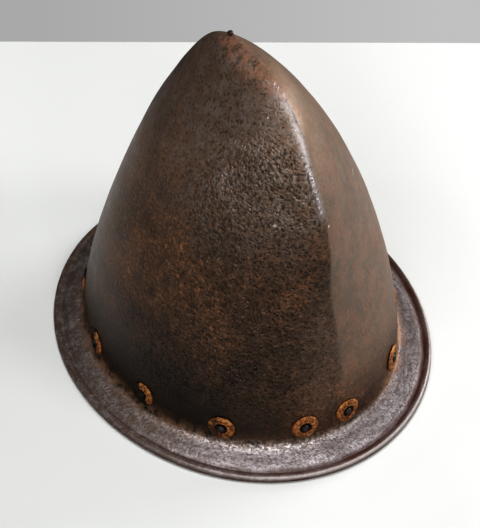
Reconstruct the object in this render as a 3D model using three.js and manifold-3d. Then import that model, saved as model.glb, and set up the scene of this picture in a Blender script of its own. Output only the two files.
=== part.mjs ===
// Morion helmet: one raised plate of iron, with a row of riveted brass washers round its base.
// Millimetres, +Z up, the wearer looks along -Y, and the brim rests on z = 0.
import * as THREE from "three";
import Module from "manifold-3d";

const WALL = 1.5; // thickness of the iron plate
const CROWN_BASE = 7.3; // height at which the crown meets the brim
const CROWN_TOP = 216.2; // height of the ridge at its highest
const LEAN = -1.5; // how far the top of the hammered crown stands to the side
const RIDGE = 0.69; // how sharply the upper crown narrows to its front and back ridge
const BRIM_HALF_WIDTH = 112.5;
const BRIM_REACH = 130.6; // from the middle to the front edge and to the back edge
const BRIM_CENTRE = 2.4; // y at which the brim is widest
const FILLET_TOP = 10; // height at which the crown starts to turn into the brim

// Level sections of the crown, evenly spaced along it and closer together near the top.
const SECTIONS = [
  { halfWidth: 92.8, front: 106.6, back: 111.3 }, // z 7.3
  { halfWidth: 87.2, front: 102.0, back: 102.8 }, // z 56.2
  { halfWidth: 75.4, front: 95.6, back: 93.9 }, // z 98.7
  { halfWidth: 59.6, front: 91.0, back: 80.8 }, // z 134.6
  { halfWidth: 43.7, front: 84.6, back: 62.6 }, // z 164.0
  { halfWidth: 29.6, front: 71.2, back: 45.2 }, // z 186.8
  { halfWidth: 17.7, front: 58.0, back: 29.6 }, // z 203.2
  { halfWidth: 8.2, front: 41.6, back: 14.2 }, // z 212.9
  { halfWidth: 0.0, front: 17.6, back: 1.2 }, // z 216.2
];

// Section of the plate from the crown's foot out over the brim and back under it:
// distance outwards from the crown, or inwards from the edge, and height.
const BRIM_TOP = [
  { fromCrown: 0, z: FILLET_TOP },
  { fromCrown: 0.5, z: 8.25 },
  { fromCrown: 1.75, z: 7.0 },
  { fromCrown: 3.5, z: 6.5 },
  { fromEdge: 8.0, z: 5.3 },
  { fromEdge: 5.6, z: 4.0 }, // sunk line inside the lip
  { fromEdge: 4.6, z: 3.7 },
  { fromEdge: 3.6, z: 4.6 }, // rolled lip
  { fromEdge: 2.3, z: 5.0 },
  { fromEdge: 1.0, z: 4.6 },
  { fromEdge: 0.2, z: 3.4 },
];
const BRIM_UNDER = [
  { fromEdge: 0, z: 2.2 },
  { fromEdge: 0.4, z: 0.9 },
  { fromEdge: 1.4, z: 0 }, // the helmet rests on this narrow flat
  { fromEdge: 2.9, z: 0 },
  { fromEdge: 3.9, z: 0.8 },
  { fromEdge: 4.8, z: 2.2 },
  { fromEdge: 8.0, z: 3.8 },
  { fromCrown: 3.5, z: 5.0 },
  { fromCrown: 1.0, z: 5.6 },
  { fromCrown: -0.8, z: 7.4 },
  { fromCrown: -1.5, z: 10 },
];

const SHANK_RADIUS = 1.7;
const RIVET_HEAD_RADIUS = 2.4;
const WASHER_RADIUS = 8.0;
const CLEARANCE = 0.3;
const WASHER_HEIGHT = 18.2; // height of the washers' middles
const PETALS = 10;
// Angle of each washer round the crown, from the front, towards +X.
const WASHER_ANGLES = [
  5.1, 35.6, 64, 92, 120, 146, 170, -171, -150, -126.8, -97.7, -70.4, -41, -12.1,
];

const AROUND = 56; // points round each level ring

const manifold = await Module();
manifold.setup();

// Value of one column of SECTIONS at share v of the crown, without overshoot.
function column(name, v) {
  const values = SECTIONS.map((row) => row[name]);
  const last = values.length - 1;
  const at = THREE.MathUtils.clamp(v, 0, 1) * last;
  const i = Math.min(Math.floor(at), last - 1);
  const t = at - i;
  const step = values.slice(1).map((value, j) => value - values[j]);
  const slope = (j) => {
    if (j === 0) return (3 * step[0] - step[1]) / 2;
    if (j === last) return (3 * step[last - 1] - step[last - 2]) / 2;
    return step[j - 1] * step[j] <= 0 ? 0 : (2 * step[j - 1] * step[j]) / (step[j - 1] + step[j]);
  };
  return (
    values[i] * (1 + 2 * t) * (1 - t) ** 2 +
    slope(i) * t * (1 - t) ** 2 +
    values[i + 1] * t * t * (3 - 2 * t) -
    slope(i + 1) * t * t * (1 - t)
  );
}

const shareAtHeight = (z) => 1 - Math.sqrt(1 - (z - CROWN_BASE) / (CROWN_TOP - CROWN_BASE));

// Point on the outside of the crown: v goes from its base (0) to its top (1),
// and the angle goes round from the front towards +X.
function crown(v, angle) {
  const rise = 1 - (1 - v) ** 2;
  const halfWidth = column("halfWidth", v);
  const front = column("front", v);
  const back = column("back", v);
  const pinch = RIDGE * THREE.MathUtils.smoothstep(rise, 0.03, 0.58);
  const sine = Math.sin(angle);
  return new THREE.Vector3(
    halfWidth * sine * (1 - pinch + pinch * Math.abs(sine)) + LEAN * Math.max(rise, 0) ** 1.5,
    (back - front) / 2 - ((front + back) / 2) * Math.cos(angle),
    CROWN_BASE + (CROWN_TOP - CROWN_BASE) * rise,
  );
}

function crownNormal(v, angle) {
  const d = 1e-3;
  const along = crown(v, angle + d).sub(crown(v, angle - d));
  const up = crown(v + d, angle).sub(crown(v - d, angle));
  return along.cross(up).normalize();
}

const inside = (v, angle) => crown(v, angle).addScaledVector(crownNormal(v, angle), -WALL);

const angles = Array.from({ length: AROUND }, (_, i) => (2 * Math.PI * i) / AROUND);
const ring = (point) => angles.map(point);

function brimEdge(angle) {
  const cosine = Math.cos(angle);
  const reach = cosine > 0 ? BRIM_REACH + BRIM_CENTRE : BRIM_REACH - BRIM_CENTRE;
  return new THREE.Vector3(BRIM_HALF_WIDTH * Math.sin(angle), BRIM_CENTRE - reach * cosine, 0);
}

function brimRing({ fromCrown, fromEdge, z }) {
  return ring((angle) => {
    const foot = crown(fromCrown === 0 ? shareAtHeight(z) : 0, angle).setZ(0);
    const edge = brimEdge(angle);
    const outward = edge.clone().sub(foot).normalize();
    const point =
      fromEdge === undefined
        ? foot.addScaledVector(outward, fromCrown)
        : edge.addScaledVector(outward, -fromEdge);
    return point.setZ(z);
  });
}

// Closed surface from rings of points, each end closed by a fan round its middle.
function skin(rings, { capped = true } = {}) {
  const count = rings[0].length;
  const points = rings.flat();
  const index = [];
  const rows = capped ? rings.length - 1 : rings.length;
  for (let r = 0; r < rows; r++) {
    const upper = r * count;
    const lower = ((r + 1) % rings.length) * count;
    for (let i = 0; i < count; i++) {
      const j = (i + 1) % count;
      index.push(upper + i, lower + i, lower + j, upper + i, lower + j, upper + j);
    }
  }
  if (capped) {
    [rings[0], rings.at(-1)].forEach((end, which) => {
      const first = which === 0 ? 0 : points.length - 1 - count;
      const middle = points.length;
      const sum = end.reduce((a, p) => a.add(p), new THREE.Vector3());
      points.push(sum.divideScalar(count));
      for (let i = 0; i < count; i++) {
        const j = (i + 1) % count;
        if (which === 0) index.push(middle, first + i, first + j);
        else index.push(middle, first + j, first + i);
      }
    });
  }
  const geometry = new THREE.BufferGeometry().setFromPoints(points);
  geometry.setIndex(index);
  return geometry;
}

function toSolid(geometry) {
  return new manifold.Manifold(
    new manifold.Mesh({
      numProp: 3,
      vertProperties: new Float32Array(geometry.attributes.position.array),
      triVerts: new Uint32Array(geometry.index.array),
    }),
  );
}

function toGeometry(solid) {
  const mesh = solid.getMesh();
  const geometry = new THREE.BufferGeometry();
  geometry.setAttribute("position", new THREE.BufferAttribute(mesh.vertProperties, 3));
  geometry.setIndex(new THREE.BufferAttribute(mesh.triVerts, 1));
  return geometry;
}

// Frame of a washer: its middle on the crown's outside, z away from the iron, x level.
function seat(degrees) {
  const angle = THREE.MathUtils.degToRad(degrees);
  const v = shareAtHeight(WASHER_HEIGHT);
  const outward = crownNormal(v, angle);
  const level = new THREE.Vector3(0, 0, 1).cross(outward).normalize();
  const upward = outward.clone().cross(level);
  return new THREE.Matrix4()
    .makeBasis(level, upward, outward)
    .setPosition(crown(v, angle));
}

function helmetShell() {
  const narrow = [0.97, 0.94, 0.9, 0.86, 0.81]; // rows over the hollow's ceiling
  const shared = [0.04, 0.09, 0.15, 0.22, 0.29, 0.36, 0.43, 0.5, 0.57, 0.64, 0.7, 0.76];
  const ceiling = ring((angle) => inside(0.76, angle));
  const middle = new THREE.Vector3(LEAN, -11, 0);
  const domed = (across, along, raise) =>
    ceiling.map((p) =>
      p.clone().sub(middle).multiply(new THREE.Vector3(across, along, 1)).add(middle).setZ(p.z + raise),
    );
  const shell = toSolid(
    skin([
      ...narrow.map((v) => ring((angle) => crown(v, angle))),
      ...shared.toReversed().map((v) => ring((angle) => crown(v, angle))),
      ...BRIM_TOP.map(brimRing),
      ...BRIM_UNDER.map(brimRing),
      ...shared.map((v) => ring((angle) => inside(v, angle))),
      domed(0.55, 0.75, 4.5),
      domed(0.15, 0.4, 6),
    ]),
  );
  // Small stalk at the top, leaning back.
  const stalk = toSolid(
    skin(
      [
        { y: -2, z: 213.6, r: 2.4 },
        { y: 5.5, z: 215.3, r: 2.0 },
        { y: 9.4, z: 215.9, r: 1.8 },
        { y: 11.0, z: 216.1, r: 1.1 },
      ]
        .reverse()
        .map(({ y, z, r }) =>
          Array.from({ length: 10 }, (_, i) => {
            const turn = (2 * Math.PI * i) / 10;
            return new THREE.Vector3(
              LEAN - r * Math.cos(turn),
              y - r * Math.sin(turn) * 0.4,
              z + r * Math.sin(turn) * 0.9,
            );
          }),
        ),
    ),
  );
  const radius = SHANK_RADIUS + CLEARANCE;
  const hole = manifold.Manifold.cylinder(12, radius, radius, 10, true);
  const holes = WASHER_ANGLES.map((degrees) => hole.transform(seat(degrees).elements));
  return toGeometry(shell.add(stalk).subtract(manifold.Manifold.union(holes)));
}

// Pressed washer: a dished middle inside a raised ring, with petals round it.
function rosette(degrees) {
  const across = 1 / 190; // bent to the curve of the crown
  const profile = [
    { r: 2.0, h: 0.55, petal: 0 },
    { r: 3.3, h: 0.65, petal: 0 },
    { r: 4.0, h: 1.5, petal: 0 },
    { r: WASHER_RADIUS, h: 0.55, petal: 1 },
    { r: WASHER_RADIUS, h: 0, petal: 1 },
    { r: 2.0, h: 0, petal: 0 },
  ];
  const rings = profile.map(({ r, h, petal }) =>
    Array.from({ length: 2 * PETALS }, (_, i) => {
      const turn = (Math.PI * i) / PETALS;
      const radius = r - petal * (i % 2) * 0.45;
      const x = radius * Math.cos(turn);
      return new THREE.Vector3(x, radius * Math.sin(turn), CLEARANCE + h - x * x * across);
    }),
  );
  return skin(rings, { capped: false }).applyMatrix4(seat(degrees));
}

// Rivet: a low head in the washer's dish, a shank through the iron, and a clenched inner end.
function rivet(degrees) {
  const profile = [
    { r: 1.2, h: 2.8 },
    { r: 2.1, h: 2.3 },
    { r: RIVET_HEAD_RADIUS, h: 1.35 },
    { r: SHANK_RADIUS, h: 1.3 },
    { r: SHANK_RADIUS, h: -WALL - CLEARANCE - 0.2 },
    { r: 2.8, h: -WALL - CLEARANCE - 0.25 },
    { r: 2.2, h: -WALL - 1.5 },
  ];
  const rings = profile.map(({ r, h }) =>
    Array.from({ length: 10 }, (_, i) => {
      const turn = (2 * Math.PI * i) / 10;
      return new THREE.Vector3(r * Math.cos(turn), r * Math.sin(turn), h);
    }),
  );
  return skin(rings).applyMatrix4(seat(degrees));
}

const iron = new THREE.MeshStandardMaterial({ color: 0x4a3a33, metalness: 0.8, roughness: 0.5 });
const brass = new THREE.MeshStandardMaterial({ color: 0x8a5c34, metalness: 0.7, roughness: 0.6 });
const dark = new THREE.MeshStandardMaterial({ color: 0x2b2422, metalness: 0.7, roughness: 0.6 });

const helmet = new THREE.Group();
helmet.name = "morion_helmet";

function place(name, geometry, material) {
  const mesh = new THREE.Mesh(geometry, material.clone());
  mesh.name = name;
  helmet.add(mesh);
}

place("helmet_shell", helmetShell(), iron);
WASHER_ANGLES.forEach((degrees, i) => {
  const number = String(i + 1).padStart(2, "0");
  place("rosette_" + number, rosette(degrees), brass);
  place("rivet_" + number, rivet(degrees), dark);
});

export default helmet;
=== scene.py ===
"""Looks of the morion helmet: pitted, waxed iron with tarnished brass washers, on a pale table."""

import math
from types import SimpleNamespace

import bpy
import numpy as np
from mathutils import Matrix, Vector, noise


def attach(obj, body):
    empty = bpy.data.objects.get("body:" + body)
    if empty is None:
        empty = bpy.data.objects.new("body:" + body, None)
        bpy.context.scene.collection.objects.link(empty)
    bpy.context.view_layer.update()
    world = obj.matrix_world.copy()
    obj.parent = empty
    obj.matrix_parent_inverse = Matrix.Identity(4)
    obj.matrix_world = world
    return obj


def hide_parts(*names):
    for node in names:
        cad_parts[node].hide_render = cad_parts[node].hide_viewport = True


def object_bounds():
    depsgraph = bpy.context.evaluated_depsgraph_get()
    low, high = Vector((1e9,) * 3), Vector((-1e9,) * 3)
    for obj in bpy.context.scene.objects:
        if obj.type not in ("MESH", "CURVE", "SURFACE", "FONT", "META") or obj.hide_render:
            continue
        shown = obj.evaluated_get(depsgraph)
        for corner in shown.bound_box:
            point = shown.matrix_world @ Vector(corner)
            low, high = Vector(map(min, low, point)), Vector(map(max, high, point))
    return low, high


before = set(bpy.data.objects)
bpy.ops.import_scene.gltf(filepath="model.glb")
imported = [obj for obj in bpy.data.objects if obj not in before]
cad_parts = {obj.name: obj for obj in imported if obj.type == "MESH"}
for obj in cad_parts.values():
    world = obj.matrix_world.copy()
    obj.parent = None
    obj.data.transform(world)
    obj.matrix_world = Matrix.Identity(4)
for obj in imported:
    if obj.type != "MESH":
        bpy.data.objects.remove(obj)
cad_low, cad_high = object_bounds()
MM = 0.001

# Sizes, in millimetres
WALL = 1.5
CROWN_BASE = 7.3
CROWN_TOP = 216.2
LEAN = -1.5
BRIM_HALF_WIDTH = 112.5
BRIM_REACH = 130.6
BRIM_CENTRE = 2.4
CROWN_FOOT = 11.2
WASHER_HEIGHT = 18.2
WASHER_GAP = 0.3

# How far inside the box of the solids the shell and the stalk stay, in millimetres.
MARGIN = 0.01

# How far the crown's sides are drawn in to make the ridge, as a share of its half width.
RIDGE = 0.69

# Level sections of the crown from its foot to its top: half width, front reach and back reach.
SECTIONS = {
    "half_width": (92.8, 87.2, 75.4, 59.6, 43.7, 29.6, 17.7, 8.2, 0.0),
    "front": (106.6, 102.0, 95.6, 91.0, 84.6, 71.2, 58.0, 41.6, 17.6),
    "back": (111.3, 102.8, 93.9, 80.8, 62.6, 45.2, 29.6, 14.2, 1.2),
}

# Section of the brim: where each distance is measured from, the distance and the height. The
# first row belongs to the crown, the last ones to the inside.
BRIM_SECTION = (
    ("crown", 0.0, 10.0),
    ("crown", 0.5, 8.25),
    ("crown", 1.75, 7.0),
    ("crown", 3.5, 6.5),
    ("edge", 8.0, 5.3),
    ("edge", 5.6, 4.0),
    ("edge", 4.6, 3.7),
    ("edge", 3.6, 4.6),
    ("edge", 2.3, 5.0),
    ("edge", 1.0, 4.6),
    ("edge", 0.2, 3.4),
    ("edge", 0.0, 2.2),
    ("edge", 0.4, 0.9),
    ("edge", 1.4, 0.0),
    ("edge", 2.9, 0.0),
    ("edge", 3.9, 0.8),
    ("edge", 4.8, 2.2),
    ("edge", 8.0, 3.8),
    ("crown", 3.5, 5.0),
    ("crown", 1.0, 5.6),
    ("crown", -0.8, 7.4),
    ("crown", -1.5, 10.0),
)

# Washers: angle round the crown from the front towards +X, how dark each one is, and the
# side of it that is darkest, counted from level right towards the top.
WASHERS = (
    (5.1, 0.0, 0),
    (35.6, 0.1, 40),
    (64.0, 0.3, 0),
    (92.0, 0.4, 90),
    (120.0, 0.3, 200),
    (146.0, 0.5, 300),
    (170.0, 0.3, 120),
    (-171.0, 0.6, 20),
    (-150.0, 0.4, 250),
    (-126.8, 0.8, 160),
    (-97.7, 0.8, 200),
    (-70.4, 0.8, 215),
    (-41.0, 0.36, 195),
    (-12.1, 0.05, 200),
)

# Bright scratches and chips on the crown: the place and half the size, both along x, y and z.
MARKS = (
    ((-22.8, -72.2, 151.5), (1.1, 1.1, 1.1)),
    ((0.8, -87.5, 152.0), (0.8, 1.2, 1.0)),
    ((-12.0, -46.9, 201.2), (0.7, 0.7, 0.7)),
    ((41.6, -49.8, 143.0), (3.2, 5.0, 0.45)),
)

# Rings between two rows of BRIM_SECTION, and the rows at the side and at the foot of the lip.
BRIM_STEPS = 3
LIP_SIDE_ROW = 10
LIP_FOOT_ROW = 12

# Ceiling of the hollow: its rings' share of the width and of the length, and how far each rises.
CEILING = (
    (0.8, 0.9, 2.6),
    (0.55, 0.75, 4.5),
    (0.3, 0.55, 5.6),
    (0.1, 0.35, 6.1),
)
CEILING_MIDDLE = (LEAN, -11.0, 0.0)

# The crown's rings outside and inside, and the shares of it at which they start and end.
OUTER_RINGS, INNER_RINGS = 150, 40
TOP_SHARE, CEILING_SHARE = 0.98, 0.76

# The stalk from front to back: how far back, how high and its radius, in millimetres.
STALK = (
    (5.8, 214.9, 0.5),
    (7.3, 215.8, 1.2),
    (8.6, 216.0, 1.5),
    (9.7, 215.9, 1.3),
    (10.5, 215.6, 0.6),
)

# Camera: place in metres, the direction that it looks from in degrees, and the lens in millimetres.
CAMERA_PLACE = (-0.32609, -0.54385, 0.67635)
CAMERA_AZIMUTH, CAMERA_ELEVATION = -30.902, 44.601
CAMERA_LENS = 100.77

# Lights: both ends as azimuth and elevation round the helmet, the width in metres, the power in
# watts and the colour.
LIGHT_DISTANCE = 1.9
LIGHTS = {
    "skylight": ((90, 82), (-90, 82), 0.7, 15, (1, 1, 1)),
    "window": ((24, 42), (48, 42), 0.4, 6, (1.0, 0.98, 0.96)),
    "side_window": ((78, 15), (110, 17), 0.5, 15, (1, 1, 1)),
    "front_window": ((-90, 54), (-24, 14), 0.2, 8, (1, 1, 1)),
    "lamp": ((-16, 26), (-6, 30), 0.25, 2.5, (1, 1, 1)),
}

# The table in metres: both ends of its back edge as the photo shows it, and how far it goes on.
BACK_EDGE = ((-0.0071, 0.3484, 0), (0.3084, 0.1573, 0))
TABLE_HALF_WIDTH, TABLE_DEPTH, TABLE_THICKNESS = 4, 6, 0.03

# Grey of the room that lights the helmet, and of the wall from left to right. The wall's grey changes
# between minus and plus the reach, counted along the camera's level axis on a unit sphere.
ROOM_GREY = 0.035
WALL_GREY = (0.33, 0.415)
WALL_REACH = 0.13


# Shape of the crown
def column(name, v):
    """One column of SECTIONS at shares v of the crown, without overshoot."""
    values = np.array(SECTIONS[name])
    last = len(values) - 1
    step = np.diff(values)
    slope = np.zeros(last + 1)
    slope[0] = (3 * step[0] - step[1]) / 2
    slope[last] = (3 * step[-1] - step[-2]) / 2
    for j in range(1, last):
        if step[j - 1] * step[j] > 0:
            slope[j] = 2 * step[j - 1] * step[j] / (step[j - 1] + step[j])
    at = np.clip(v, 0, 1) * last
    i = np.minimum(at.astype(int), last - 1)
    t = at - i
    return (
        values[i] * (1 + 2 * t) * (1 - t) ** 2
        + slope[i] * t * (1 - t) ** 2
        + values[i + 1] * t * t * (3 - 2 * t)
        - slope[i + 1] * t * t * (1 - t)
    )


def smooth(low, high, value):
    """0 below low, 1 above high, and a smooth step between."""
    t = np.clip((value - low) / (high - low), 0, 1)
    return t * t * (3 - 2 * t)


def bell(value, middle, width):
    """1 at the middle, falling smoothly to both sides."""
    return np.exp(-(((value - middle) / width) ** 2))


def share_at(z):
    """Share of the crown's columns that lies at a height."""
    return 1 - np.sqrt(1 - (z - CROWN_BASE) / (CROWN_TOP - CROWN_BASE))


def lean_at(rise):
    """Sideways shift of the crown's middle at a share of its height."""
    return LEAN * np.maximum(rise, 0) ** 1.5


def crown(v, angle):
    """Points on the outside of the crown, in millimetres."""
    v, angle = np.broadcast_arrays(np.asarray(v, float), angle)
    rise = 1 - (1 - v) ** 2
    front, back = column("front", v), column("back", v)
    pinch = RIDGE * smooth(0.03, 0.58, rise)
    sine = np.sin(angle)
    x = column("half_width", v) * sine * (1 - pinch + pinch * np.abs(sine))
    return np.stack(
        [
            x + lean_at(rise),
            (back - front) / 2 - (front + back) / 2 * np.cos(angle),
            CROWN_BASE + (CROWN_TOP - CROWN_BASE) * rise,
        ],
        -1,
    )


def crown_normal(v, angle):
    """Directions away from the crown."""
    d = 1e-3
    v, angle = np.broadcast_arrays(np.asarray(v, float), angle)
    around = crown(v, angle + d) - crown(v, angle - d)
    up = crown(v + d, angle) - crown(v - d, angle)
    normal = np.cross(around, up)
    return normal / np.linalg.norm(normal, axis=-1, keepdims=True)


def field(points, size, seed, octaves=1):
    """Smooth noise from -1 to 1 at each point, with features of about that size in millimetres."""
    shift = Vector((seed * 17.3, seed * 5.1, seed * 9.7))
    flat = points.reshape(-1, 3) / size
    if octaves == 1:
        values = [noise.noise(Vector(p) + shift) for p in flat]
    else:
        values = [noise.fractal(Vector(p) + shift, 0.6, 2.1, octaves) for p in flat]
    return np.array(values).reshape(points.shape[:-1])


def brim_ring(origin, distance, z, angle):
    """One ring of the brim, a distance out from the crown or in from the edge."""
    foot = crown(share_at(z) if origin == "crown" and distance == 0 else 0.0, angle)
    reach = np.where(np.cos(angle) > 0, BRIM_REACH + BRIM_CENTRE, BRIM_REACH - BRIM_CENTRE)
    edge = np.stack(
        [BRIM_HALF_WIDTH * np.sin(angle), BRIM_CENTRE - reach * np.cos(angle), 0 * angle], -1
    )
    foot[:, 2] = 0
    outward = edge - foot
    outward /= np.linalg.norm(outward, axis=1, keepdims=True)
    ring = foot + outward * distance if origin == "crown" else edge - outward * distance
    ring[:, 2] = z
    return ring


def between(rings, count):
    """Rings on a smooth curve through the given ones, count steps between each two."""
    made = []
    for i in range(len(rings) - 1):
        a, b = rings[i], rings[i + 1]
        before = rings[i - 1] if i else a
        after = rings[i + 2] if i + 2 < len(rings) else b
        for t in np.arange(count) / count:
            made.append(
                0.5
                * (
                    2 * a
                    + (b - before) * t
                    + (2 * before - 5 * a + 4 * b - after) * t**2
                    + (3 * a - before - 3 * b + after) * t**3
                )
            )
    made.append(rings[-1])
    return made


# Meshes
def mesh_object(name, points, faces, material, smooth_shading=True):
    """New object from points in millimetres."""
    mesh = bpy.data.meshes.new(name)
    mesh.from_pydata((np.asarray(points) * MM).tolist(), [], faces)
    mesh.update()
    if smooth_shading:
        mesh.shade_smooth()
    mesh.materials.append(material)
    made = bpy.data.objects.new(name, mesh)
    bpy.context.scene.collection.objects.link(made)
    return made


def grid_faces(rows, columns, closed_rows=False):
    """Faces between rings of points, wound so that rings listed from the top face outwards."""
    faces = []
    for r in range(rows if closed_rows else rows - 1):
        a, b = r * columns, (r + 1) % rows * columns
        for i in range(columns):
            j = (i + 1) % columns
            faces.append((a + i, b + i, b + j, a + j))
    return faces


def cap_faces(rows, columns):
    """Fans that close a stack of rings: the first ring round one point, the last round the next."""
    first, last = rows * columns, rows * columns + 1
    end = (rows - 1) * columns
    faces = [(first, i, (i + 1) % columns) for i in range(columns)]
    faces += [(last, end + (i + 1) % columns, end + i) for i in range(columns)]
    return faces


def add_vectors(made, name, values):
    layer = made.data.attributes.new(name, "FLOAT_VECTOR", "POINT")
    layer.data.foreach_set("vector", np.asarray(values, np.float32).ravel())


def add_attribute(made, name, values):
    layer = made.data.attributes.new(name, "FLOAT", "POINT")
    layer.data.foreach_set("value", np.asarray(values, np.float32).ravel())


# Shader helpers
class Nodes:
    """Short calls for building one material's nodes."""

    def __init__(self, name):
        self.material = bpy.data.materials.new(name)
        self.material.use_nodes = True
        self.tree = self.material.node_tree
        self.tree.nodes.clear()
        self.shader = self.tree.nodes.new("ShaderNodeBsdfPrincipled")
        output = self.tree.nodes.new("ShaderNodeOutputMaterial")
        self.tree.links.new(self.shader.outputs[0], output.inputs[0])
        self.place = self.tree.nodes.new("ShaderNodeTexCoord").outputs["Object"]

    def link(self, value, socket):
        if isinstance(value, bpy.types.NodeSocket):
            self.tree.links.new(value, socket)
        elif hasattr(socket, "default_value"):
            if socket.type == "RGBA" and len(value) == 3:
                value = (*value, 1)
            socket.default_value = value

    def set(self, name, value):
        self.link(value, self.shader.inputs[name])

    def noise(self, size, detail=3.0, rough=0.55, distort=0.0, seed=0.0):
        """Noise around 0.5 with features of about that size in millimetres."""
        node = self.tree.nodes.new("ShaderNodeTexNoise")
        node.noise_dimensions = "4D"
        self.link(self.place, node.inputs["Vector"])
        node.inputs["W"].default_value = seed
        node.inputs["Scale"].default_value = 1 / (size * MM)
        node.inputs["Detail"].default_value = detail
        node.inputs["Roughness"].default_value = rough
        node.inputs["Distortion"].default_value = distort
        return node.outputs["Fac"]

    def streaks(self, size, detail=3.0, rough=0.6):
        """Noise drawn out along the brim."""
        fac = self.noise(size, detail, rough)
        node = fac.node
        place = self.tree.nodes.new("ShaderNodeAttribute")
        place.attribute_name = "drawn_out"
        self.tree.links.new(place.outputs["Vector"], node.inputs["Vector"])
        return fac

    def mark(self, point, half_size):
        """1 at a small rounded mark; both values along x, y and z in millimetres."""
        apart = self.tree.nodes.new("ShaderNodeVectorMath")
        apart.operation = "SUBTRACT"
        self.link(self.place, apart.inputs[0])
        apart.inputs[1].default_value = [c * MM for c in point]
        scaled = self.tree.nodes.new("ShaderNodeVectorMath")
        scaled.operation = "MULTIPLY"
        self.tree.links.new(apart.outputs[0], scaled.inputs[0])
        scaled.inputs[1].default_value = [1 / c / MM for c in half_size]
        length = self.tree.nodes.new("ShaderNodeVectorMath")
        length.operation = "LENGTH"
        self.tree.links.new(scaled.outputs[0], length.inputs[0])
        return self.span(length.outputs["Value"], 0.5, 1.0, 1.0, 0.0)

    def cells(self, size):
        """Distance from the nearest of many scattered points."""
        node = self.tree.nodes.new("ShaderNodeTexVoronoi")
        self.link(self.place, node.inputs["Vector"])
        node.inputs["Scale"].default_value = 1 / (size * MM)
        return node.outputs["Distance"]

    def attribute(self, name):
        node = self.tree.nodes.new("ShaderNodeAttribute")
        node.attribute_name = name
        return node.outputs["Fac"]

    def span(self, value, low, high, to_low=0.0, to_high=1.0):
        """value from low..high taken smoothly to to_low..to_high."""
        node = self.tree.nodes.new("ShaderNodeMapRange")
        node.interpolation_type = "SMOOTHSTEP"
        for name, number in zip(
            ("Value", "From Min", "From Max", "To Min", "To Max"),
            (value, low, high, to_low, to_high),
        ):
            self.link(number, node.inputs[name])
        return node.outputs["Result"]

    def math(self, kind, a, b=0.0, clamp=False):
        node = self.tree.nodes.new("ShaderNodeMath")
        node.operation = kind
        node.use_clamp = clamp
        self.link(a, node.inputs[0])
        self.link(b, node.inputs[1])
        return node.outputs[0]

    def times(self, first, *others):
        for value in others:
            first = self.math("MULTIPLY", first, value)
        return first

    def plus(self, first, *others):
        for value in others:
            first = self.math("ADD", first, value)
        return first

    def fade(self, value, start, end):
        """start where value is 0 and end where it is 1."""
        return self.span(value, 0.0, 1.0, start, end)

    def mix(self, share, a, b):
        node = self.tree.nodes.new("ShaderNodeMix")
        node.data_type = "RGBA"
        self.link(share, node.inputs["Factor"])
        self.link(a, node.inputs[6])
        self.link(b, node.inputs[7])
        return node.outputs[2]

    def bump(self, height, strength, distance):
        node = self.tree.nodes.new("ShaderNodeBump")
        self.link(height, node.inputs["Height"])
        self.link(strength, node.inputs["Strength"])
        node.inputs["Distance"].default_value = distance * MM
        return node.outputs[0]


# Materials
SHELL_WEAR_AND_PAINTED_LIGHT = (
    "brim", "groove", "lip", "tan", "fillet", "crease", "grit", "smoother", "ridge", "low", "wear",
    "worn_top", "inner",
)


def crown_colour(n, at):
    """Brown patina, greyer higher up with a painted sheen, smoother and lighter on the wearer's left, with
    painted shade in the pitted grain and a nearly black foot that is partly painted shade.
    """
    colour = n.mix(n.span(at.cloud, 0.36, 0.64), (0.060, 0.034, 0.021), (0.125, 0.066, 0.034))
    colour = n.mix(n.span(at.mottle, 0.42, 0.75, 0, 0.65), colour, (0.200, 0.108, 0.066))
    # Greyer where the upper crown is worn, and lighter where its sheen is painted on.
    high = n.mix(n.span(at.mottle, 0.38, 0.62), (0.335, 0.268, 0.228), (0.235, 0.170, 0.130))
    colour = n.mix(n.times(at.wear, 0.75), colour, high)
    streak = n.span(n.noise(11, 3, 0.6, 0.6, 7.0), 0.40, 0.62)
    side = n.mix(streak, (0.262, 0.172, 0.128), (0.185, 0.142, 0.110))
    side = n.mix(n.span(n.noise(5, 3, 0.6, 0.3, 9.0), 0.55, 0.70), side, (0.30, 0.155, 0.092))
    # The same greying and painted sheen on the smoother side.
    side = n.mix(n.times(at.wear, at.wear, 0.5), side, (0.36, 0.27, 0.20))
    colour = n.mix(n.times(at.smoother, 0.75), colour, side)
    # Fine dark and light grain all over, coarser where the plate is pitted. The darkening of the coarse
    # grain and of the pits is painted shade of the relief.
    coarse = n.times(
        n.span(at.grain, 0.30, 0.62, 0.52, 0.0),
        n.span(at.grit, 0.05, 0.7, 0.15, 1.0),
        n.fade(at.smoother, 1.0, 0.25),
    )
    colour = n.mix(coarse, colour, (0.030, 0.017, 0.011))
    pit_shade = n.times(n.span(at.pits, 0.08, 0.40, 0.6, 0.0), n.span(at.grit, 0.2, 0.9))
    colour = n.mix(pit_shade, colour, (0.022, 0.013, 0.009))
    darker = n.times(n.span(at.speckle, 0.36, 0.50, 0.62, 0.0), n.fade(at.smoother, 1.0, 0.3))
    colour = n.mix(darker, colour, (0.035, 0.022, 0.015))
    colour = n.mix(n.span(at.speckle, 0.56, 0.72, 0.0, 0.5), colour, (0.33, 0.22, 0.15))
    colour = n.mix(at.specks, colour, (0.36, 0.160, 0.070))
    # The foot of the crown is painted nearly black: partly its dark patina, partly painted shade near the
    # brim and on the wearer's right, the side turned from the main lights.
    return n.mix(n.times(at.low, 0.9), colour, (0.012, 0.010, 0.007))


def brim_colour(n, at):
    """Rubbed grey, brown towards the edge."""
    grey = n.mix(n.span(at.streaks, 0.36, 0.64), (0.25, 0.218, 0.218), (0.41, 0.375, 0.385))
    grey = n.mix(n.span(at.speckle, 0.38, 0.56, 0.6, 0.0), grey, (0.08, 0.055, 0.050))
    brown = n.times(at.tan, n.span(n.noise(4.5, 4, 0.65, 0.4, 10.0), 0.35, 0.6, 0.45, 1.0))
    return n.mix(brown, grey, (0.135, 0.100, 0.078))


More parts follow.
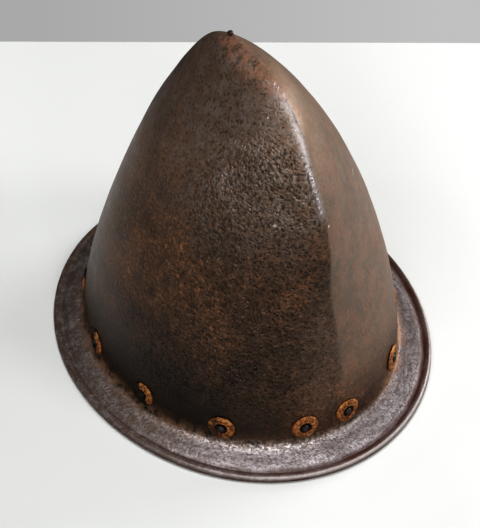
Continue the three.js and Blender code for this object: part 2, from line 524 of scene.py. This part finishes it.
def with_worn_places(n, at, colour):
    """The colour with the groove and the lip's painted shadow, the painted highlights on the lip and the
    join, the rubbed ridge with its painted highlight, the top, the inside and scratches put over it.
    """
    # Dark red-brown in the groove, and the same colour as painted shadow on the lip's outer side.
    groove_and_lip_shadow_share = n.times(at.groove, n.span(at.streaks, 0.3, 0.65, 1.0, 0.7))
    colour = n.mix(groove_and_lip_shadow_share, colour, (0.070, 0.027, 0.020))
    # Painted highlight along the top of the lip at the front.
    colour = n.mix(n.times(at.lip, 0.9), colour, (0.66, 0.60, 0.58))
    # Painted highlight in broken flecks along the join of crown and brim at the front.
    fillet_highlight = n.times(at.fillet, n.span(n.noise(2.0, 2, 0.6, 0.6, 12.0), 0.49, 0.56))
    colour = n.mix(fillet_highlight, colour, (0.74, 0.71, 0.70))
    colour = n.mix(at.rust, colour, (0.40, 0.235, 0.150))
    # Light grey along the ridge: rubbed metal with a painted highlight.
    colour = n.mix(at.rubbed, colour, (0.52, 0.47, 0.46))
    colour = n.mix(n.times(at.redder, 0.55), colour, (0.32, 0.140, 0.080))
    inside = n.mix(n.span(at.cloud, 0.4, 0.62), (0.028, 0.018, 0.013), (0.11, 0.05, 0.024))
    colour = n.mix(at.inner, colour, inside)
    for point, half_size in MARKS:
        colour = n.mix(n.mark(point, half_size), colour, (0.66, 0.62, 0.56))
    return colour


def iron_metal(n, at):
    """Most metallic on the brim and on the rubbed ridge with its painted highlight, least at the foot,
    which is partly painted shade, in the groove and the lip's painted shadow, and where it is red or
    rusty.
    """
    metal = n.plus(n.fade(at.brim, 0.15, 0.65), n.times(at.wear, n.fade(at.smoother, 0.35, 0.25)))
    metal = n.plus(metal, n.times(at.smoother, 0.15))
    metal = n.math("ADD", metal, n.times(at.rubbed, 0.4), clamp=True)
    for dull in (at.low, at.groove, at.redder, at.rust):
        metal = n.times(metal, n.fade(dull, 1.0, 0.15))
    return metal


def iron_roughness(n, at):
    """Rougher inside, on the wearer's left, in the groove and on the lip's painted shadow, smoother on the
    rubbed ridge with its painted highlight.
    """
    rough = n.plus(n.span(at.mottle, 0.3, 0.7, 0.31, 0.42), n.times(at.specks, 0.2))
    parts = ((at.inner, 0.2), (at.smoother, 0.16), (at.brim, 0.08), (at.groove, 0.1), (at.rubbed, -0.08))
    for part, more in parts:
        rough = n.plus(rough, n.times(part, more))
    return rough


def iron_relief(n, at):
    """Pits where the plate is gritty, and a slight grain everywhere."""
    coarse = n.plus(n.times(at.grain, 0.6), n.times(n.span(at.pits, 0.0, 0.55), 0.3))
    amount = n.times(n.fade(at.grit, 0.0, 1.0), n.fade(at.ridge, 1.0, 0.35), n.fade(at.smoother, 1.0, 0.1))
    slight = n.plus(n.times(at.speckle, n.fade(at.smoother, 0.10, 0.07)), n.times(at.fine, 0.04))
    return n.bump(n.plus(n.times(coarse, amount), slight), 1.0, 4.0)


def iron_plate():
    """Dark brown patina on pitted iron: rustier where it is rough, greyer and shinier on the brim."""
    n = Nodes("patinated_iron")
    at = SimpleNamespace(**{name: n.attribute(name) for name in SHELL_WEAR_AND_PAINTED_LIGHT})
    at.cloud = n.noise(34, 5, 0.6, 0.4, 1.0)
    at.mottle = n.noise(6.5, 4, 0.6, 0.2, 2.0)
    at.grain = n.noise(2.2, 2, 0.5, 0.0, 3.0)
    at.fine = n.noise(0.9, 2, 0.6, 0.0, 4.0)
    at.speckle = n.noise(1.7, 3, 0.65, 0.0, 13.0)
    at.streaks = n.streaks(3.0)
    at.pits = n.cells(2.1)
    at.specks = n.times(
        n.span(n.noise(2.8, 4, 0.7, 0.1, 5.0), 0.55, 0.65),
        n.span(at.cloud, 0.42, 0.60, 0.1, 1.0),
        n.fade(at.wear, 0.75, 0.35),
    )
    at.rust = n.times(at.crease, n.span(n.noise(6, 4, 0.7, 0.5, 6.0), 0.38, 0.58))
    # The ridge's rubbed metal and painted highlight, broken up by the grain.
    at.rubbed = n.times(at.ridge, n.span(at.grain, 0.3, 0.5, 0.45, 1.0))
    at.redder = n.times(at.worn_top, n.span(n.noise(4.5, 4, 0.65, 0.3, 11.0), 0.40, 0.56))
    colour = n.mix(at.brim, crown_colour(n, at), brim_colour(n, at))
    n.set("Base Color", with_worn_places(n, at, colour))
    n.set("Metallic", iron_metal(n, at))
    n.set("Roughness", iron_roughness(n, at))
    n.set("Specular IOR Level", 0.25)
    n.set("Normal", iron_relief(n, at))
    return n.material


def brass():
    """Tarnished brass, near black where a washer is marked as dark."""
    n = Nodes("tarnished_brass")
    dark, dish, seam = n.attribute("dark"), n.attribute("dish"), n.attribute("seam")
    patch = n.noise(5, 4, 0.6, 0.4, 1.5)
    grain = n.noise(0.9, 3, 0.6, 0.0, 2.5)
    colour = n.mix(n.span(patch, 0.35, 0.65), (0.42, 0.150, 0.040), (0.66, 0.33, 0.12))
    colour = n.mix(n.span(grain, 0.3, 0.6, 0.65, 0.0), colour, (0.15, 0.050, 0.014))
    colour = n.mix(n.span(seam, 0.1, 0.9, 0.0, 0.8), colour, (0.075, 0.030, 0.012))
    stain = n.noise(2.2, 4, 0.7, 0.5, 7.5)
    colour = n.mix(n.span(stain, 0.46, 0.60, 0.0, 0.85), colour, (0.095, 0.034, 0.012))
    colour = n.mix(dish, colour, (0.020, 0.010, 0.006))
    darkened = n.span(n.plus(dark, n.times(n.noise(4, 3, 0.6, 0.3, 8.0), 0.5)), 0.45, 0.75)
    colour = n.mix(darkened, colour, (0.022, 0.014, 0.009))
    n.set("Base Color", colour)
    n.set("Metallic", n.span(patch, 0.3, 0.7, 0.35, 0.65))
    n.set("Roughness", n.span(grain, 0.3, 0.7, 0.42, 0.62))
    n.set("Normal", n.bump(grain, 0.5, 0.25))
    return n.material


def rivet_iron():
    n = Nodes("blackened_rivet_iron")
    patch = n.noise(2.2, 4, 0.6, 0.3, 3.5)
    colour = n.mix(n.span(patch, 0.4, 0.62), (0.022, 0.022, 0.026), (0.085, 0.060, 0.048))
    n.set("Base Color", colour)
    n.set("Metallic", n.span(patch, 0.35, 0.65, 0.75, 0.35))
    n.set("Roughness", n.span(patch, 0.3, 0.7, 0.34, 0.55))
    n.set("Normal", n.bump(n.noise(0.7, 3, 0.6, 0.0, 5.5), 0.5, 0.25))
    return n.material


# The iron shell
AROUND = 360
ANGLES = np.arange(AROUND) * 2 * math.pi / AROUND


def signed_degrees(turn):
    """Angle round the crown from the front, between -180 and 180 degrees."""
    return np.degrees((turn + math.pi) % (2 * math.pi) - math.pi)


def groove_worn():
    """How far the groove inside the lip has worn away at each angle: most on the wearer's right."""
    bearing = -signed_degrees(ANGLES)
    return smooth(12, 60, bearing) * (1 - smooth(140, 170, bearing))


def dented(points, normals):
    """The same points, moved by the unevenness of a hammered plate."""
    move = 0.28 * field(points, 34, 1) + 0.10 * field(points, 13, 2)
    moved = points + normals * move[..., None]
    # The crest bows a little to the wearer's right where it starts to curve over.
    bow = bell(points[..., 2], 177, 17) * bell(points[..., 0], LEAN, 14) * (points[..., 1] < 0)
    moved[..., 0] -= 1.8 * bow
    return moved


def crown_rings(shares):
    """Rings on the dented outside of the crown, and the directions away from it."""
    v, turn = np.meshgrid(shares, ANGLES, indexing="ij")
    normals = crown_normal(v, turn)
    return dented(crown(v, turn), normals), normals


def brim_rings():
    """Rings of the brim, slightly wavy but for the flat that it rests on."""
    brim = np.array(between([brim_ring(*row, ANGLES) for row in BRIM_SECTION], BRIM_STEPS))
    wave = 0.22 * field(brim * [1, 1, 0], 45, 3)
    edge = brim_ring("edge", 0.0, 0.0, ANGLES)
    inwards = np.hypot(brim[..., 0] - edge[:, 0], brim[..., 1] - edge[:, 1])
    fill = 0.85 * bell(inwards, 4.8, 1.1) - 0.35 * bell(inwards, 2.2, 1.2)
    brim[..., 2] += fill * groove_worn() * (brim[..., 2] > 3.0)
    brim[..., 2] += wave * smooth(0.0, 2.0, brim[..., 2])
    return brim


def shell_places(points, rows, outer_rows):
    """Where each point of the shell lies, as its wear depends on it."""
    column_of = np.concatenate([np.tile(np.arange(AROUND), rows), [0, 0]])
    row = np.concatenate([np.repeat(np.arange(rows), AROUND), [0, rows - 1]])
    edge = brim_ring("edge", 0.0, 0.0, ANGLES)[column_of]
    foot = brim_ring("crown", 0.001, 0.0, ANGLES)[column_of]
    on = SimpleNamespace(points=points, x=points[:, 0], y=points[:, 1], z=points[:, 2])
    on.around = signed_degrees(ANGLES[column_of])
    on.outside = row < outer_rows
    on.inside = row > outer_rows + BRIM_STEPS * LIP_FOOT_ROW
    on.brim = ~on.outside & ~on.inside
    on.brim_top = on.brim & (row <= outer_rows + BRIM_STEPS * LIP_SIDE_ROW)
    on.from_edge = np.hypot(*(points - edge)[:, :2].T)
    on.from_foot = np.hypot(*(points - foot)[:, :2].T)
    on.groove_worn = groove_worn()[column_of]
    return on


def brim_wear_and_painted_light(on):
    """Wear of the brim and of its join to the crown, with the painted highlights on the lip and the join
    and the painted shadow on the lip's outer side, by attribute name.
    """
    rough_line = 0.8 * field(on.points, 12, 7)
    front = bell(on.around, 8, 48)
    brim = smooth(0.4, 3.0, on.from_foot + rough_line) * on.brim
    groove_end = 5.8 + 1.2 * np.sin(np.radians(on.around)) + 0.9 * rough_line
    groove = smooth(1.0, 2.2, on.from_edge + 0.3 * rough_line) * on.brim_top
    groove *= 1 - smooth(groove_end - 1.4, groove_end + 1.0, on.from_edge)
    groove *= 1 - 0.6 * on.groove_worn
    # The lip's outer side down by the table takes the groove's dark colour as painted shadow.
    lip_shadow = (1 - smooth(2.8, 3.6, on.z)) * (1 - smooth(1.2, 2.2, on.from_edge))
    groove = np.maximum(groove, lip_shadow) * on.brim
    # The lip's top at the front, where a highlight is painted on.
    lip = bell(on.from_edge, 0.8, 0.5) * front * (on.z > 3.0) * on.brim
    tan = (1 - smooth(4.0, 9.0, on.from_edge + 2 * field(on.points, 16, 13))) * (1 - 0.7 * front)
    tan = np.maximum(tan, 0.9 * smooth(30, 70, -on.around))
    tan = np.maximum(tan, 0.4 * smooth(30, 50, on.around) * (1 - smooth(60, 85, on.around))) * on.brim
    # The join of crown and brim at the front, where a highlight is painted on.
    fillet = bell(on.from_foot, 2.6, 1.7) * bell(on.around, -24, 32) * on.brim
    on_left = smooth(18, 50, on.around) * (1 - smooth(150, 175, on.around))
    crease = np.where(on.brim, bell(on.from_foot, 0, 3.8), bell(on.z, 9, 4.5)) * ~on.inside
    crease *= np.clip(0.35 * (1 - front) + 0.1 + 0.9 * on_left, 0, 1)
    return {
        "brim": brim, "groove": groove, "lip": lip, "tan": tan, "fillet": fillet, "crease": crease,
    }


def crown_wear_and_painted_light(on, brim, fillet):
    """Wear of the crown, with its painted shade at the foot, painted sheen and painted highlight on the
    ridge, by attribute name.
    """
    pitted = bell(on.around, -38, 40) * smooth(14, 60, on.z) * (1 - 0.75 * smooth(165, 205, on.z))
    grit = np.clip(0.24 + pitted * 0.85 + 0.22 * field(on.points, 26, 4), 0, 1)
    grit *= 1 - 0.6 * smooth(60, 95, -on.around) * (1 - smooth(120, 150, -on.around))
    grit *= 1 - 0.8 * smooth(178, 200, on.z)
    grit = np.where(on.brim, 0.11 + 0.16 * fillet + 0.05 * field(on.points, 20, 4), grit)
    smoother = smooth(-1, 5, on.around + 3 * field(on.points, 22, 12)) * smooth(20, 60, on.z)
    smoother *= (1 - smooth(150, 175, on.around)) * on.outside
    # Sideways distance from the ridge line. Just to the wearer's right of it the ridge is rubbed and
    # carries a painted highlight.
    aside = on.x - lean_at((on.z - CROWN_BASE) / (CROWN_TOP - CROWN_BASE))
    upper = smooth(188, 206, on.z)
    rubbed_at = -(1.0 + 1.8 * bell(on.z, 177, 17) + 0.8 * upper)
    ridge = bell(aside, rubbed_at, 1.8 + 0.5 * upper) * (1 - 0.35 * upper) * on.outside
    ridge *= smooth(150, 170, on.z + 6 * field(on.points, 14, 9)) * (1 - smooth(211, 215, on.z))
    ridge *= np.abs(on.around) < 90
    ragged_z = on.z + 12 * field(on.points, 34, 5, 3)
    on_right = np.clip(1.1 - np.abs(on.around + 65) / 85, 0, 1)
    # Nearly black foot, partly dark patina and partly painted shade: it fades out upwards and is strongest
    # on the wearer's right, the side turned from the main lights.
    low = (1 - smooth(14, 105, ragged_z)) * (1 - brim) * ~on.inside
    low = np.clip(low * (0.18 + 0.95 * on_right), 0, 1) * (1 - 0.88 * smooth(-22, -2, on.around))
    # Painted sheen on the upper front, to the wearer's right of the ridge, where a light shines back off
    # the crown.
    front_sheen = bell(on.around, -36, 52) * smooth(112, 165, ragged_z)
    beside_ridge = bell(on.around, -7, 10) * smooth(20, 50, on.z) * (1 - smooth(80, 120, on.z))
    # Wear greys and rubs the patina high on the crown, and the painted sheen is added to it.
    wear = 0.8 * front_sheen + 0.8 * smooth(140, 195, ragged_z) + 0.3 * beside_ridge
    worn_top = smooth(208, 213, on.z) * bell(aside, -4, 7) * on.outside
    return {
        "grit": grit, "smoother": smoother, "ridge": ridge, "low": low,
        "wear": np.clip(wear, 0, 1) * on.outside, "worn_top": worn_top, "inner": on.inside,
    }


def build_shell(material):
    """The iron plate as one closed shell, with a value at each place for its wear and rust and for its
    painted light and shade.
    """
    foot_share = share_at(CROWN_FOOT)
    outer, _ = crown_rings(np.linspace(TOP_SHARE, foot_share, OUTER_RINGS))
    inner, normals = crown_rings(np.linspace(foot_share, CEILING_SHARE, INNER_RINGS))
    inner -= normals * WALL
    middle = np.array(CEILING_MIDDLE)
    ceiling = []
    for across, along, rise in CEILING:
        ring = middle + (inner[-1] - middle) * [across, along, 1]
        ring[:, 2] = inner[-1][:, 2] + rise
        ceiling.append(ring)
    rings = np.concatenate([outer, brim_rings(), inner, ceiling])
    rows = len(rings)
    top, inner_top = outer[0].mean(0) + [0, 0, 0.15], ceiling[-1].mean(0) + [0, 0, 0.1]
    points = np.concatenate([rings.reshape(-1, 3), [top], [inner_top]])
    points = np.clip(points, np.array(cad_low) / MM + MARGIN, np.array(cad_high) / MM - MARGIN)
    faces = grid_faces(rows, AROUND) + cap_faces(rows, AROUND)
    shell = mesh_object("helmet_iron", points, faces, material)

    on = shell_places(points, rows, len(outer))
    wear = brim_wear_and_painted_light(on)
    wear.update(crown_wear_and_painted_light(on, wear["brim"], wear["fillet"]))
    for name, values in wear.items():
        add_attribute(shell, name, values)
    drawn_out = np.stack([0.2 * on.x, 0.2 * on.y, np.minimum(on.from_edge, 40)], -1)
    add_vectors(shell, "drawn_out", drawn_out * MM)
    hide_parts("helmet_shell")
    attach(shell, "root")


def build_stalk(material):
    """The small stalk at the top, leaning back."""
    around, steps = 28, 25
    turn = np.arange(around) * 2 * math.pi / around
    at = np.linspace(0, len(STALK) - 1, steps)
    path = [np.interp(at, np.arange(len(STALK)), values) for values in zip(*STALK)]
    rings = []
    for y, z, r in zip(*path):
        x = LEAN - r * np.cos(turn)
        rings.append(np.stack([x, y - 0.4 * r * np.sin(turn), z + 0.9 * r * np.sin(turn)], -1))
    rings = np.array(rings[::-1])
    rings += 0.12 * field(rings, 2.5, 6)[..., None]
    points = np.concatenate([rings.reshape(-1, 3), [rings[0].mean(0)], [rings[-1].mean(0)]])
    points[:, 2] = np.minimum(points[:, 2], cad_high[2] / MM - MARGIN)
    faces = grid_faces(steps, around) + cap_faces(steps, around)
    stalk = mesh_object("stalk", points, faces, material)
    add_attribute(stalk, "low", np.full(len(points), 0.6))
    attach(stalk, "root")


# Washers and rivets
def seat(degrees):
    """Frame of a washer on the crown: x level, y up the crown and z away from it, in millimetres."""
    turn = np.array(math.radians(degrees))
    v = share_at(WASHER_HEIGHT)
    outward = Vector(crown_normal(v, turn))
    level = Vector((0, 0, 1)).cross(outward).normalized()
    upward = outward.cross(level)
    basis = Matrix((level, upward, outward)).transposed()
    return np.array(basis), crown(v, turn)


def seated(local, degrees):
    """Points of a washer or rivet in their place on the crown."""
    basis, origin = seat(degrees)
    return local @ basis.T + origin


def turned(section, around, radius_of, height_of):
    """Rings of a section turned round z, each with its own radius and height at every angle."""
    turn = np.arange(around) * 2 * math.pi / around
    rings = []
    for r, h in section:
        radius, height = radius_of(r, turn) + 0 * turn, height_of(r, h, turn) + 0 * turn
        rings.append(np.stack([radius * np.cos(turn), radius * np.sin(turn), height], -1))
    return np.array(rings)


# Sections of the washer and the rivet, as radius and height over the crown in millimetres.
PETALS = 12
WASHER_SECTION = (
    (2.0, 0.0), (2.0, 0.45), (2.2, 0.55), (3.0, 0.6), (3.35, 0.8), (3.7, 1.35), (4.0, 1.52),
    (4.35, 1.45), (4.7, 1.15), (5.0, 1.12), (5.5, 1.32), (6.2, 1.38), (6.9, 1.2), (7.5, 0.9),
    (7.85, 0.6), (8.0, 0.3), (7.9, 0.0),
)


def notch(r, turn):
    """1 in the middle of a notch between petals, 0 on the petals and on the rim."""
    lobe = np.abs(np.sin(PETALS * turn / 2))
    return (1 - lobe) ** 3 * smooth(3.7, 4.3, r) * (1 - smooth(5.6, 6.9, r))


def build_washer(number, degrees, dark, dark_side, material):
    """Pressed washer: a dished middle, short petals with notches between them and a plain rim."""
    around = 144
    seed = 3.1 * number

    def radius_of(r, turn):
        drawn_in = 0.12 * (1 - np.abs(np.sin(PETALS * turn / 2))) ** 2 * smooth(6.0, 8.0, r)
        uneven = 0.18 * np.sin(2 * turn + seed) + 0.12 * np.sin(3 * turn + 2.3 * seed)
        return r - drawn_in + uneven * smooth(3.0, 8.0, r)

    def height_of(r, h, turn):
        rib = 0.10 * np.cos(PETALS * turn) * smooth(5.5, 6.5, r) * (h > 0.4)
        return np.maximum(h - rib - 0.6 * notch(r, turn) * (h > 0.1), 0.0 if h < 0.1 else 0.12)

    local = turned(WASHER_SECTION, around, radius_of, height_of)
    turn = np.arange(around) * 2 * math.pi / around
    radius = np.hypot(local[..., 0], local[..., 1])
    seam = np.array([notch(r, turn) for r, _ in WASHER_SECTION]) * (local[..., 2] > 0.1)
    facing = np.cos(turn - math.radians(dark_side)) * np.ones_like(radius)
    # It bends with the crown.
    local[..., 2] += WASHER_GAP - local[..., 0] ** 2 / 190
    local[..., 2] += 0.05 * field(local + [seed * 9, 0, 0], 2.0, 8)
    points = seated(local.reshape(-1, 3), degrees)
    faces = [face[::-1] for face in grid_faces(len(local), around, closed_rows=True)]
    washer = mesh_object(f"washer_{number:02d}", points, faces, material)
    add_attribute(washer, "dark", dark * smooth(-0.8, 0.3, facing))
    add_attribute(washer, "dish", 1 - smooth(3.5, 4.1, radius))
    add_attribute(washer, "seam", seam)
    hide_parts(f"rosette_{number:02d}")
    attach(washer, "root")


SHANK_RADIUS = 1.7
HEAD_UNDERSIDE = 1.35
RIVET_SECTION = (
    (0.35, 2.72), (0.9, 2.68), (1.4, 2.5), (1.85, 2.2), (2.2, 1.8), (2.38, 1.5), (2.3, 1.36),
    (SHANK_RADIUS, 1.32), (SHANK_RADIUS, 0.0), (SHANK_RADIUS, -2.0), (2.5, -2.05), (2.75, -2.2),
    (2.6, -2.6), (1.9, -2.9), (0.8, -3.0),
)


def build_rivet(number, degrees, material):
    """Rivet with a hand-struck head, a shank through the plate and a clenched inner end."""
    around = 40
    seed = 1.7 * number

    def radius_of(r, turn):
        if r == SHANK_RADIUS:
            return r
        struck = 0.05 * np.cos(5 * turn + seed) + 0.07 * np.cos(2 * turn + 2 * seed)
        return r * (1 + struck - 0.1)

    def height_of(r, h, turn):
        if h < HEAD_UNDERSIDE:
            return h
        return h - 0.06 * r * (1 + np.cos(turn + seed))

    local = turned(RIVET_SECTION, around, radius_of, height_of)
    points = np.concatenate([local.reshape(-1, 3), [local[0].mean(0)], [local[-1].mean(0)]])
    faces = grid_faces(len(local), around) + cap_faces(len(local), around)
    rivet = mesh_object(f"rivet_head_{number:02d}", seated(points, degrees), faces, material)
    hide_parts(f"rivet_{number:02d}")
    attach(rivet, "root")


# Table, light and camera
def build_table():
    """Pale table whose back edge lies behind the helmet, with painted light that makes it lighter towards
    that edge.
    """
    left, right = (Vector(end) for end in BACK_EDGE)
    along = (right - left).normalized()
    away = Vector((-along.y, along.x, 0))
    middle = (left + right) / 2
    corners = [
        middle - along * TABLE_HALF_WIDTH,
        middle + along * TABLE_HALF_WIDTH,
        middle + along * TABLE_HALF_WIDTH - away * TABLE_DEPTH,
        middle - along * TABLE_HALF_WIDTH - away * TABLE_DEPTH,
    ]
    down = Vector((0, 0, TABLE_THICKNESS))
    points = [c / MM for c in corners] + [(c - down) / MM for c in corners]
    faces = [(3, 2, 1, 0), (4, 5, 6, 7), (0, 1, 5, 4), (1, 2, 6, 5), (2, 3, 7, 6), (3, 0, 4, 7)]
    n = Nodes("pale_table")
    depth = n.tree.nodes.new("ShaderNodeVectorMath")
    depth.operation = "DOT_PRODUCT"
    n.link(n.place, depth.inputs[0])
    depth.inputs[1].default_value = away
    # Painted light: lighter towards the back edge.
    painted_light_towards_back = n.span(depth.outputs["Value"], -0.25, 0.35)
    patches = n.span(n.noise(90, 3, 0.5), 0.4, 0.6)
    pale = n.mix(patches, (0.745, 0.755, 0.745), (0.765, 0.775, 0.765))
    n.set("Base Color", n.mix(painted_light_towards_back, pale, (0.845, 0.855, 0.845)))
    n.set("Roughness", 0.6)
    table = mesh_object("table", points, faces, n.material, smooth_shading=False)


def towards(azimuth, elevation):
    """Unit vector of a direction round the helmet: azimuth from the front towards +X."""
    a, e = math.radians(azimuth), math.radians(elevation)
    return Vector((math.sin(a) * math.cos(e), -math.cos(a) * math.cos(e), math.sin(e)))


def put(name, data, right, up, back, place):
    """New camera or light with these three axes, which looks away from back."""
    made = bpy.data.objects.new(name, data)
    made.matrix_world = Matrix.Translation(place) @ Matrix((right, up, back)).transposed().to_4x4()
    bpy.context.scene.collection.objects.link(made)
    return made


def area_light(name, start, end, width, power, colour):
    """Long soft light whose two ends lie in the given directions, aimed at the helmet's middle."""
    aim = Vector((0, 0, 0.09))
    first, last = towards(*start) * LIGHT_DISTANCE, towards(*end) * LIGHT_DISTANCE
    back = (first + last).normalized()
    along = (last - first).normalized()
    lamp = bpy.data.lights.new(name, "AREA")
    lamp.shape = "RECTANGLE"
    lamp.size, lamp.size_y = (last - first).length, width
    lamp.energy = power
    lamp.color = colour
    put(name, lamp, along, back.cross(along), back, aim + (first + last) / 2)


def build_world():
    """Dim room, in which the camera sees a mid grey wall that is a little lighter to the right."""
    world = bpy.data.worlds.new("room")
    bpy.context.scene.world = world
    world.use_nodes = True
    tree = world.node_tree
    tree.nodes.clear()
    output = tree.nodes.new("ShaderNodeOutputWorld")
    both = tree.nodes.new("ShaderNodeMixShader")
    seen = tree.nodes.new("ShaderNodeLightPath")
    room = tree.nodes.new("ShaderNodeBackground")
    room.inputs["Color"].default_value = (ROOM_GREY, ROOM_GREY, ROOM_GREY, 1)
    wall = tree.nodes.new("ShaderNodeBackground")
    place = tree.nodes.new("ShaderNodeTexCoord")
    turn = tree.nodes.new("ShaderNodeVectorRotate")
    turn.rotation_type = "Z_AXIS"
    turn.inputs["Angle"].default_value = math.radians(-CAMERA_AZIMUTH)
    split = tree.nodes.new("ShaderNodeSeparateXYZ")
    ramp = tree.nodes.new("ShaderNodeMapRange")
    ramp.inputs["From Min"].default_value = -WALL_REACH
    ramp.inputs["From Max"].default_value = WALL_REACH
    ramp.inputs["To Min"].default_value, ramp.inputs["To Max"].default_value = WALL_GREY
    link = tree.links.new
    link(place.outputs["Generated"], turn.inputs["Vector"])
    link(turn.outputs[0], split.inputs[0])
    link(split.outputs["X"], ramp.inputs["Value"])
    link(ramp.outputs["Result"], wall.inputs["Color"])
    link(seen.outputs["Is Camera Ray"], both.inputs[0])
    link(room.outputs[0], both.inputs[1])
    link(wall.outputs[0], both.inputs[2])
    link(both.outputs[0], output.inputs[0])


def build_camera():
    camera = bpy.data.cameras.new("camera")
    camera.sensor_width = 36
    camera.lens = CAMERA_LENS
    camera.clip_start, camera.clip_end = 0.05, 20
    back = towards(CAMERA_AZIMUTH, CAMERA_ELEVATION)
    right = Vector((0, 0, 1)).cross(back).normalized()
    made = put("camera", camera, right, back.cross(right), back, Vector(CAMERA_PLACE))
    bpy.context.scene.camera = made


bpy.context.scene.view_settings.view_transform = "Standard"
bpy.context.scene.view_settings.look = "High Contrast"
iron = iron_plate()
build_shell(iron)
build_stalk(iron)
washer_brass, blackened = brass(), rivet_iron()
for number, (degrees, dark, dark_side) in enumerate(WASHERS, 1):
    build_washer(number, degrees, dark, dark_side, washer_brass)
    build_rivet(number, degrees, blackened)
build_table()
build_world()
for name, light in LIGHTS.items():
    area_light(name, *light)
build_camera()
